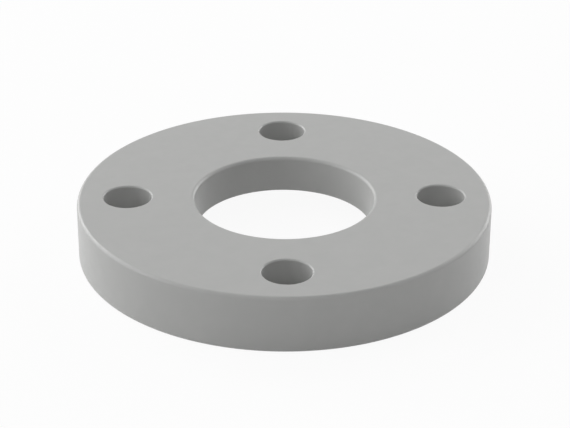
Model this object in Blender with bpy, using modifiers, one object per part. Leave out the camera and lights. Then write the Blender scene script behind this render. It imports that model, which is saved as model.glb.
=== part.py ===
"""Loose backing flange for plastic pipe: one moulded ring with a flat face, a bore and four bolt holes with draft,
and a relieved underside.

Units are metres and +Z is up. The origin is the centre of the plane that the flange stands on, and +Z runs along
the bore towards the flat face. The ring is one turned section, and turned cutters make the bolt holes.
"""

import math

import bpy

MM = 0.001

# Bolting of nominal size 50 in pressure class 10 or 16, for M16. The holes are narrowest at the web's underside
BOLT_COUNT = 4
BOLT_CIRCLE_DIAMETER = 125.0 * MM
BOLT_HOLE_DIAMETER = 18.0 * MM
BOLT_HOLE_DRAFT = math.radians(2.0)

# The ring. Its outer wall lies this far outside the bolt circle
EDGE_DISTANCE = 20.0 * MM
THICKNESS = 23.4 * MM

# The bore is widest at the flat face and narrows towards the underside
BORE_DIAMETER = 71.5 * MM
BORE_DRAFT = math.radians(2.5)

# The underside is hollowed to this depth, as far as a rim. The web between them is flat, and goes on past the bolt
# holes by the land
RELIEF_DEPTH = 8.4 * MM
BOLT_LAND = 4.0 * MM
RIM_DRAFT = math.radians(3.0)

# Rounded edges
FACE_RIM_RADIUS = 1.5 * MM
BASE_RIM_RADIUS = 1.8 * MM
BORE_MOUTH_RADIUS = 1.5 * MM
BORE_FOOT_RADIUS = 0.8 * MM
RIM_FOOT_RADIUS = 1.0 * MM
RELIEF_CORNER_RADIUS = 1.5 * MM
HOLE_MOUTH_RADIUS = 0.8 * MM
HOLE_FOOT_RADIUS = 0.5 * MM

# A rounding takes up at most this share of each wall beside it
ROUNDING_SHARE = 0.45

# How finely the round forms are divided
RING_STEPS = 96
HOLE_STEPS = 32
ROUNDING_STEPS = 4

# A cutter ends this far outside the ring, and points this close to the axis are joined on it
CUTTER_OVERRUN = 2.0 * MM
AXIS_MERGE = 0.01 * MM

# Moulded light grey plastic
PLASTIC_COLOUR = (0.43, 0.43, 0.42, 1.0)
PLASTIC_ROUGHNESS = 0.42


def clear_scene():
    for obj in list(bpy.data.objects):
        bpy.data.objects.remove(obj, do_unlink=True)


def new_collection(name):
    collection = bpy.data.collections.new(name)
    bpy.context.scene.collection.children.link(collection)
    return collection


def moulded_plastic():
    material = bpy.data.materials.new("grey_plastic")
    material.use_nodes = True
    shader = material.node_tree.nodes["Principled BSDF"]
    shader.inputs["Base Color"].default_value = PLASTIC_COLOUR
    shader.inputs["Roughness"].default_value = PLASTIC_ROUGHNESS
    shader.inputs["Metallic"].default_value = 0.0
    return material


def direction_and_length(start, end):
    length = math.dist(start, end)
    return ((end[0] - start[0]) / length, (end[1] - start[1]) / length), length


def rounded_corner(before, corner, after, radius):
    """The (r, z) points of the arc that rounds one corner of a section, from the wall before it to the wall after."""
    (back_r, back_z), back_length = direction_and_length(corner, before)
    (on_r, on_z), on_length = direction_and_length(corner, after)
    half_angle = math.acos(back_r * on_r + back_z * on_z) / 2
    to_touch = min(radius / math.tan(half_angle), ROUNDING_SHARE * min(back_length, on_length))
    radius = to_touch * math.tan(half_angle)
    to_centre = to_touch / math.cos(half_angle)
    bisector = math.hypot(back_r + on_r, back_z + on_z)
    centre_r = corner[0] + (back_r + on_r) / bisector * to_centre
    centre_z = corner[1] + (back_z + on_z) / bisector * to_centre
    start = math.atan2(corner[1] + back_z * to_touch - centre_z, corner[0] + back_r * to_touch - centre_r)
    end = math.atan2(corner[1] + on_z * to_touch - centre_z, corner[0] + on_r * to_touch - centre_r)
    turn = (end - start + math.pi) % math.tau - math.pi
    points = []
    for step in range(ROUNDING_STEPS + 1):
        angle = start + turn * step / ROUNDING_STEPS
        points.append((centre_r + radius * math.cos(angle), centre_z + radius * math.sin(angle)))
    return points


def ring_section():
    """The closed section: along the flat face, down the outer wall, under the rim, over the web and up the bore."""
    bolt_circle = BOLT_CIRCLE_DIAMETER / 2
    outer = bolt_circle + EDGE_DISTANCE
    rim_root = bolt_circle + BOLT_HOLE_DIAMETER / 2 + BOLT_LAND
    rim_foot = rim_root + RELIEF_DEPTH * math.tan(RIM_DRAFT)
    bore_mouth = BORE_DIAMETER / 2
    bore_foot = bore_mouth - (THICKNESS - RELIEF_DEPTH) * math.tan(BORE_DRAFT)
    corners = [
        (bore_mouth, THICKNESS, BORE_MOUTH_RADIUS),
        (outer, THICKNESS, FACE_RIM_RADIUS),
        (outer, 0.0, BASE_RIM_RADIUS),
        (rim_foot, 0.0, RIM_FOOT_RADIUS),
        (rim_root, RELIEF_DEPTH, RELIEF_CORNER_RADIUS),
        (bore_foot, RELIEF_DEPTH, BORE_FOOT_RADIUS),
    ]
    section = []
    for index, (r, z, radius) in enumerate(corners):
        before = corners[index - 1][:2]
        after = corners[(index + 1) % len(corners)][:2]
        section += rounded_corner(before, (r, z), after, radius)
    return section


def run_on(before, end):
    """The point that lies as far past the end of a line as the point before it is short of the end."""
    return (2 * end[0] - before[0], 2 * end[1] - before[1])


def bolt_hole_section():
    """The cutter's line from the axis, round the mouth in the flat face, down the wall and round the lower mouth.

    Each arc runs on past its face in a straight line, so that the cut meets the face at an angle."""
    foot = BOLT_HOLE_DIAMETER / 2
    mouth = foot + (THICKNESS - RELIEF_DEPTH) * math.tan(BOLT_HOLE_DRAFT)
    on_face = (EDGE_DISTANCE, THICKNESS)
    on_web = (foot + BOLT_LAND, RELIEF_DEPTH)
    upper = rounded_corner(on_face, (mouth, THICKNESS), (foot, RELIEF_DEPTH), HOLE_MOUTH_RADIUS)
    lower = rounded_corner((mouth, THICKNESS), (foot, RELIEF_DEPTH), on_web, HOLE_FOOT_RADIUS)
    upper[0] = run_on(upper[1], upper[0])
    lower[-1] = run_on(lower[-2], lower[-1])
    top = THICKNESS + CUTTER_OVERRUN
    bottom = -CUTTER_OVERRUN
    return [(0.0, top), (upper[0][0], top), *upper, *lower, (lower[-1][0], bottom), (0.0, bottom)]


def turned(name, profile, steps, closed, collection):
    """A profile of (r, z) points turned about Z. It runs down its outer side, so that the faces point outwards."""
    count = len(profile)
    edges = [(index, (index + 1) % count) for index in range(count if closed else count - 1)]
    mesh = bpy.data.meshes.new(name)
    mesh.from_pydata([(r, 0.0, z) for r, z in profile], edges, [])
    obj = bpy.data.objects.new(name, mesh)
    collection.objects.link(obj)
    screw = obj.modifiers.new("Turn", "SCREW")
    screw.axis = "Z"
    screw.steps = steps
    screw.render_steps = steps
    screw.use_merge_vertices = True
    screw.merge_threshold = AXIS_MERGE
    screw.use_smooth_shade = True
    return obj


def bolt_hole_cutter(index, collection):
    """The space of one bolt hole. Both mouths are rounded: at the flat face, and at the web's underside."""
    cutter = turned(f"bolt_hole_{index + 1}", bolt_hole_section(), HOLE_STEPS, False, collection)
    angle = math.tau * index / BOLT_COUNT
    reach = BOLT_CIRCLE_DIAMETER / 2
    cutter.location = (reach * math.cos(angle), reach * math.sin(angle), 0.0)
    cutter.hide_render = True
    cutter.display_type = "WIRE"
    return cutter


def build():
    clear_scene()
    parts = new_collection("backing_flange")
    cutters = new_collection("cutters")
    flange = turned("flange", ring_section(), RING_STEPS, True, parts)
    for index in range(BOLT_COUNT):
        cut = flange.modifiers.new(f"Bolt hole {index + 1}", "BOOLEAN")
        cut.operation = "DIFFERENCE"
        cut.object = bolt_hole_cutter(index, cutters)
    flange.modifiers.new("Even shading", "WEIGHTED_NORMAL")
    flange.data.materials.append(moulded_plastic())


build()
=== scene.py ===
"""The light grey plastic backing flange on a white studio floor, seen from above its front edge.

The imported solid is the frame. A finer ring with the same section stands for it here, with smooth round edges
and a satin moulded surface. Lengths are metres, and millimetres are written with MM.
"""

import math

import bpy
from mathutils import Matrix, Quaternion, Vector


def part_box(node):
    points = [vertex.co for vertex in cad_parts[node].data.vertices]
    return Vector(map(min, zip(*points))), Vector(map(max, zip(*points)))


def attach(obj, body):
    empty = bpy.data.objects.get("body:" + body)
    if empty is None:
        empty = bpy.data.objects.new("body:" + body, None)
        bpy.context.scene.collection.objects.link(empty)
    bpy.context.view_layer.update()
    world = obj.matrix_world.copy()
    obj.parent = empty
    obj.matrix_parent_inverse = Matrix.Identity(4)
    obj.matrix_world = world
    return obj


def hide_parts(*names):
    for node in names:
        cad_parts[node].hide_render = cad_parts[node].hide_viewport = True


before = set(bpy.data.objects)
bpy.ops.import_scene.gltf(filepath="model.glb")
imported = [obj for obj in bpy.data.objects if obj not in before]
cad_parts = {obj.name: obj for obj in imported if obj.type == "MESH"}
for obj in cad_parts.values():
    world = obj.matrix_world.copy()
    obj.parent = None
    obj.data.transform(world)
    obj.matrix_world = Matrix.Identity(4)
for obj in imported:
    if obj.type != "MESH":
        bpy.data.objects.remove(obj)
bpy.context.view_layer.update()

MM = 0.001

# Sizes that the frame holds
NODE = "flange"
_, TOP_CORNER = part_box(NODE)
OUTER_RADIUS = TOP_CORNER.x
THICKNESS = TOP_CORNER.z

# The bore is this wide at the flat face, and the relief is the hollow in the underside
BORE_DIAMETER = 71.5 * MM
BORE_DRAFT = math.radians(2.5)
RELIEF_DEPTH = 8.4 * MM
RIM_DRAFT = math.radians(3.0)

# The bolt holes are this wide at their narrow lower end. The land is the web between them and the rim
BOLT_COUNT = 4
BOLT_CIRCLE_DIAMETER = 125.0 * MM
BOLT_HOLE_DIAMETER = 18.0 * MM
BOLT_HOLE_DRAFT = math.radians(2.0)
BOLT_LAND = 4.0 * MM

# Rounded edges
FACE_RIM_RADIUS = 1.5 * MM
BASE_RIM_RADIUS = 1.8 * MM
BORE_MOUTH_RADIUS = 1.5 * MM
BORE_FOOT_RADIUS = 0.8 * MM
RIM_FOOT_RADIUS = 1.0 * MM
RELIEF_CORNER_RADIUS = 1.5 * MM
HOLE_MOUTH_RADIUS = 0.8 * MM
HOLE_FOOT_RADIUS = 0.5 * MM

# How finely the round forms are divided
RING_STEPS = 288
HOLE_STEPS = 96
ROUNDING_STEPS = 10

# A cutter ends this far outside the ring, and points this close to the axis are joined on it
CUTTER_OVERRUN = 2.0 * MM
AXIS_MERGE = 0.01 * MM

# The camera, fitted to the photograph. The image's width is in pixels, and the angles are in radians. The aim
# is counted from the origin, at the middle of the flange's base
IMAGE_WIDTH = 570
SENSOR_WIDTH_MM = 36.0
FOCAL_PIXELS = 1968.3
CAMERA_ELEVATION = 0.47289
CAMERA_AZIMUTH = -0.01931
CAMERA_ROLL = 0.00466
CAMERA_DISTANCE = 0.78932
AIM_RIGHT = 0.31 * MM
AIM_HEIGHT = 15.33 * MM

# The floor lies a little below the flange, so that the two don't share a plane. The glow is its share in what
# the viewing rays get from the floor, and the fill is the strength that the white backdrop lights with
FLOOR_SIZE = 8.0
FLOOR_DROP = 0.1 * MM
FLOOR_COLOUR = (0.9, 0.9, 0.9, 1.0)
FLOOR_GLOW = 0.93
WHITE = (1.0, 1.0, 1.0, 1.0)
WORLD_FILL = 0.12

# Three rows of softboxes round the flange: degrees above the floor, and each box's width and height
LIGHT_DISTANCE = 2.6
LOW_ROW = (9, 1.70, 0.72)
MIDDLE_ROW = (30, 1.60, 1.00)
HIGH_ROW = (60, 1.80, 1.30)

# Each softbox's row, its degrees round from the camera's side towards the right, and its power in watts. The
# powers are a fit to the photograph's brightness
SOFTBOXES = [
    ("low_back_right", LOW_ROW, 135, 16.1),
    ("low_back_left", LOW_ROW, 225, 9.5),
    ("low_left", LOW_ROW, 270, 10.1),
    ("mid_front", MIDDLE_ROW, 0, 7.6),
    ("mid_front_right", MIDDLE_ROW, 45, 1.9),
    ("mid_right", MIDDLE_ROW, 90, 5.0),
    ("mid_back_right", MIDDLE_ROW, 135, 11.7),
    ("mid_back_left", MIDDLE_ROW, 225, 23.9),
    ("mid_left", MIDDLE_ROW, 270, 14.0),
    ("mid_front_left", MIDDLE_ROW, 315, 2.8),
    ("high_front", HIGH_ROW, 0, 2.0),
    ("high_back", HIGH_ROW, 180, 6.2),
    ("high_left", HIGH_ROW, 270, 5.7),
]

# The plastic is mixed from two close greys, and its roughness varies a little
DARKER_GREY = (0.421, 0.424, 0.416, 1.0)
LIGHTER_GREY = (0.435, 0.437, 0.429, 1.0)
LEAST_ROUGHNESS = 0.36
MOST_ROUGHNESS = 0.44

# Each unevenness is a noise of this size, with this many finer layers. Where it is a bump it has a height
CLOUD_SIZE = 7.0 * MM
CLOUD_DETAIL = 4.0
GLOSS_PATCH_SIZE = 3.0 * MM
GLOSS_PATCH_DETAIL = 3.0
WAVE_SIZE = 14.0 * MM
WAVE_DETAIL = 0.0
WAVE_HEIGHT = 0.02 * MM
GRAIN_SIZE = 0.3 * MM
GRAIN_DETAIL = 1.0
GRAIN_HEIGHT = 0.004 * MM

# The noise is mostly between these values, and the greys and the roughness go from end to end between them
NOISE_LOW = 0.3
NOISE_HIGH = 0.7


def add_object(name, data):
    obj = bpy.data.objects.new(name, data)
    bpy.context.scene.collection.objects.link(obj)
    return obj


def rounded_corner(before, corner, after, radius):
    """The (r, z) points of the arc that rounds one corner of a section."""
    corner = Vector(corner)
    back = (Vector(before) - corner).normalized()
    onward = (Vector(after) - corner).normalized()
    half_angle = back.angle(onward) / 2
    centre = corner + (back + onward).normalized() * radius / math.sin(half_angle)
    to_touch = radius / math.tan(half_angle)
    first = corner + back * to_touch - centre
    last = corner + onward * to_touch - centre
    start = math.atan2(first.y, first.x)
    end = math.atan2(last.y, last.x)
    turn = (end - start + math.pi) % math.tau - math.pi
    points = []
    for step in range(ROUNDING_STEPS + 1):
        angle = start + turn * step / ROUNDING_STEPS
        points.append((centre.x + radius * math.cos(angle), centre.y + radius * math.sin(angle)))
    return points


def ring_section():
    """The closed section: along the face, down the outer wall, under the rim, over the web, up the bore."""
    rim_root = (BOLT_CIRCLE_DIAMETER + BOLT_HOLE_DIAMETER) / 2 + BOLT_LAND
    rim_foot = rim_root + RELIEF_DEPTH * math.tan(RIM_DRAFT)
    bore_mouth = BORE_DIAMETER / 2
    bore_foot = bore_mouth - (THICKNESS - RELIEF_DEPTH) * math.tan(BORE_DRAFT)
    corners = [
        ((bore_mouth, THICKNESS), BORE_MOUTH_RADIUS),
        ((OUTER_RADIUS, THICKNESS), FACE_RIM_RADIUS),
        ((OUTER_RADIUS, 0.0), BASE_RIM_RADIUS),
        ((rim_foot, 0.0), RIM_FOOT_RADIUS),
        ((rim_root, RELIEF_DEPTH), RELIEF_CORNER_RADIUS),
        ((bore_foot, RELIEF_DEPTH), BORE_FOOT_RADIUS),
    ]
    section = []
    for index, (corner, radius) in enumerate(corners):
        before = corners[index - 1][0]
        after = corners[(index + 1) % len(corners)][0]
        section += rounded_corner(before, corner, after, radius)
    return section


def run_on(before, end):
    """The point that lies as far past the end of a line as the point before it is short of the end."""
    return (2 * end[0] - before[0], 2 * end[1] - before[1])


def bolt_hole_section():
    """The cutter's line from the axis, round the mouth in the face, down the wall, round the lower mouth.

    Each arc runs on past its face in a straight line, so that the cut meets the face at an angle."""
    foot = BOLT_HOLE_DIAMETER / 2
    mouth = foot + (THICKNESS - RELIEF_DEPTH) * math.tan(BOLT_HOLE_DRAFT)
    on_face = (2 * mouth, THICKNESS)
    on_web = (2 * foot, RELIEF_DEPTH)
    upper = rounded_corner(on_face, (mouth, THICKNESS), (foot, RELIEF_DEPTH), HOLE_MOUTH_RADIUS)
    lower = rounded_corner((mouth, THICKNESS), (foot, RELIEF_DEPTH), on_web, HOLE_FOOT_RADIUS)
    upper[0] = run_on(upper[1], upper[0])
    lower[-1] = run_on(lower[-2], lower[-1])
    top = THICKNESS + CUTTER_OVERRUN
    bottom = -CUTTER_OVERRUN
    return [(0.0, top), (upper[0][0], top), *upper, *lower, (lower[-1][0], bottom), (0.0, bottom)]


def turned(name, profile, steps, closed):
    """A profile of (r, z) points turned about Z."""
    count = len(profile)
    edges = [(index, (index + 1) % count) for index in range(count if closed else count - 1)]
    mesh = bpy.data.meshes.new(name)
    mesh.from_pydata([(r, 0.0, z) for r, z in profile], edges, [])
    obj = add_object(name, mesh)
    screw = obj.modifiers.new("Turn", "SCREW")
    screw.axis = "Z"
    screw.steps = steps
    screw.render_steps = steps
    screw.use_merge_vertices = True
    screw.merge_threshold = AXIS_MERGE
    screw.use_smooth_shade = True
    return obj


def bolt_hole_cutter(index):
    """The space of one bolt hole, with both of its mouths rounded."""
    cutter = turned(f"cutter_{index + 1}", bolt_hole_section(), HOLE_STEPS, False)
    angle = math.tau * index / BOLT_COUNT
    reach = BOLT_CIRCLE_DIAMETER / 2
    cutter.location = (reach * math.cos(angle), reach * math.sin(angle), 0.0)
    return cutter


def make_ring():
    """The ring with its bolt holes cut, as one plain mesh."""
    rough = turned("rough_ring", ring_section(), RING_STEPS, True)
    cutters = [bolt_hole_cutter(index) for index in range(BOLT_COUNT)]
    for cutter in cutters:
        cut = rough.modifiers.new(cutter.name, "BOOLEAN")
        cut.operation = "DIFFERENCE"
        cut.object = cutter
    bpy.context.view_layer.update()
    evaluated = rough.evaluated_get(bpy.context.evaluated_depsgraph_get())
    ring = add_object("moulded_ring", bpy.data.meshes.new_from_object(evaluated))
    for helper in [rough, *cutters]:
        bpy.data.objects.remove(helper)
    ring.modifiers.new("Even shading", "WEIGHTED_NORMAL")
    return ring


def uneven(nodes, links, place, size, detail):
    """A noise from 0 to 1 whose patches are about this size."""
    noise = nodes.new("ShaderNodeTexNoise")
    noise.inputs["Scale"].default_value = 1.0 / size
    noise.inputs["Detail"].default_value = detail
    links.new(place, noise.inputs["Vector"])
    return noise.outputs["Fac"]


def relief(nodes, links, height, full_height, under):
    """A bump of this full height, on top of the one under it."""
    bump = nodes.new("ShaderNodeBump")
    bump.inputs["Strength"].default_value = 1.0
    bump.inputs["Distance"].default_value = full_height
    links.new(height, bump.inputs["Height"])
    if under:
        links.new(under, bump.inputs["Normal"])
    return bump.outputs["Normal"]


def moulded_plastic():
    """Satin grey plastic: clouds in the colour, patches in the gloss, slight waves and moulded grain."""
    material = bpy.data.materials.new("moulded_grey_plastic")
    material.use_nodes = True
    nodes, links = material.node_tree.nodes, material.node_tree.links
    shader = nodes["Principled BSDF"]
    place = nodes.new("ShaderNodeTexCoord").outputs["Object"]

    clouds = nodes.new("ShaderNodeValToRGB")
    darker, lighter = clouds.color_ramp.elements
    darker.position = NOISE_LOW
    darker.color = DARKER_GREY
    lighter.position = NOISE_HIGH
    lighter.color = LIGHTER_GREY
    links.new(uneven(nodes, links, place, CLOUD_SIZE, CLOUD_DETAIL), clouds.inputs["Fac"])
    links.new(clouds.outputs["Color"], shader.inputs["Base Color"])

    gloss = nodes.new("ShaderNodeMapRange")
    gloss.inputs["From Min"].default_value = NOISE_LOW
    gloss.inputs["From Max"].default_value = NOISE_HIGH
    gloss.inputs["To Min"].default_value = LEAST_ROUGHNESS
    gloss.inputs["To Max"].default_value = MOST_ROUGHNESS
    patches = uneven(nodes, links, place, GLOSS_PATCH_SIZE, GLOSS_PATCH_DETAIL)
    links.new(patches, gloss.inputs["Value"])
    links.new(gloss.outputs["Result"], shader.inputs["Roughness"])

    swell = uneven(nodes, links, place, WAVE_SIZE, WAVE_DETAIL)
    waves = relief(nodes, links, swell, WAVE_HEIGHT, None)
    speckle = uneven(nodes, links, place, GRAIN_SIZE, GRAIN_DETAIL)
    grain = relief(nodes, links, speckle, GRAIN_HEIGHT, waves)
    links.new(grain, shader.inputs["Normal"])
    return material


def view_rays(nodes, links):
    """1 for the rays that see the background, directly, in a gloss or through glass, and 0 for other rays."""
    path = nodes.new("ShaderNodeLightPath")
    seen = path.outputs["Is Camera Ray"]
    for kind in ("Is Glossy Ray", "Is Transmission Ray"):
        either = nodes.new("ShaderNodeMath")
        either.operation = "MAXIMUM"
        links.new(seen, either.inputs[0])
        links.new(path.outputs[kind], either.inputs[1])
        seen = either.outputs[0]
    return seen


def studio_white():
    """White matt paint that mostly glows to the rays that see it. Its own shading keeps the shadow."""
    material = bpy.data.materials.new("studio_white")
    material.use_nodes = True
    nodes, links = material.node_tree.nodes, material.node_tree.links
    nodes.clear()
    output = nodes.new("ShaderNodeOutputMaterial")
    matt = nodes.new("ShaderNodeBsdfDiffuse")
    matt.inputs["Color"].default_value = FLOOR_COLOUR
    glow = nodes.new("ShaderNodeEmission")
    glow.inputs["Strength"].default_value = 1.0
    share = nodes.new("ShaderNodeMath")
    share.operation = "MULTIPLY"
    share.inputs[1].default_value = FLOOR_GLOW
    links.new(view_rays(nodes, links), share.inputs[0])
    mix = nodes.new("ShaderNodeMixShader")
    links.new(share.outputs[0], mix.inputs["Fac"])
    links.new(matt.outputs["BSDF"], mix.inputs[1])
    links.new(glow.outputs["Emission"], mix.inputs[2])
    links.new(mix.outputs["Shader"], output.inputs["Surface"])
    return material


def make_floor():
    bpy.ops.mesh.primitive_plane_add(size=FLOOR_SIZE, location=(0.0, 0.0, -FLOOR_DROP))
    floor = bpy.context.object
    floor.name = "studio_floor"
    floor.data.materials.append(studio_white())


def make_world():
    """A backdrop that is white where it is seen, and a dim fill where it lights."""
    world = bpy.data.worlds.new("studio")
    bpy.context.scene.world = world
    world.use_nodes = True
    nodes, links = world.node_tree.nodes, world.node_tree.links
    background = nodes["Background"]
    background.inputs["Color"].default_value = WHITE
    strength = nodes.new("ShaderNodeMapRange")
    strength.inputs["To Min"].default_value = WORLD_FILL
    strength.inputs["To Max"].default_value = 1.0
    links.new(view_rays(nodes, links), strength.inputs["Value"])
    links.new(strength.outputs["Result"], background.inputs["Strength"])


def outward_direction(azimuth, elevation):
    """The direction from the flange, with the azimuth counted from the front towards the right."""
    level = math.cos(elevation)
    return Vector((math.sin(azimuth) * level, -math.cos(azimuth) * level, math.sin(elevation)))


def softbox(name, row, azimuth, power):
    """An area light aimed at the origin."""
    elevation, width, height = row
    outward = outward_direction(math.radians(azimuth), math.radians(elevation))
    data = bpy.data.lights.new(name, "AREA")
    data.shape = "RECTANGLE"
    data.size = width
    data.size_y = height
    data.energy = power
    lamp = add_object(name, data)
    lamp.location = outward * LIGHT_DISTANCE
    lamp.rotation_mode = "QUATERNION"
    lamp.rotation_quaternion = outward.to_track_quat("Z", "Y")


def make_camera():
    data = bpy.data.cameras.new("camera")
    data.sensor_width = SENSOR_WIDTH_MM
    data.lens = FOCAL_PIXELS / IMAGE_WIDTH * SENSOR_WIDTH_MM
    camera = add_object("camera", data)
    outward = outward_direction(CAMERA_AZIMUTH, CAMERA_ELEVATION)
    sideways = Vector((math.cos(CAMERA_AZIMUTH), math.sin(CAMERA_AZIMUTH), 0.0))
    aim = sideways * AIM_RIGHT + Vector((0.0, 0.0, AIM_HEIGHT))
    camera.location = aim + outward * CAMERA_DISTANCE
    camera.rotation_mode = "QUATERNION"
    camera.rotation_quaternion = Quaternion(outward, CAMERA_ROLL) @ (-outward).to_track_quat("-Z", "Y")
    bpy.context.scene.camera = camera


bpy.context.scene.view_settings.view_transform = "Standard"
ring = make_ring()
ring.data.materials.append(moulded_plastic())
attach(ring, "root")
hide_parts(NODE)
make_floor()
make_world()
for box in SOFTBOXES:
    softbox(*box)
make_camera()
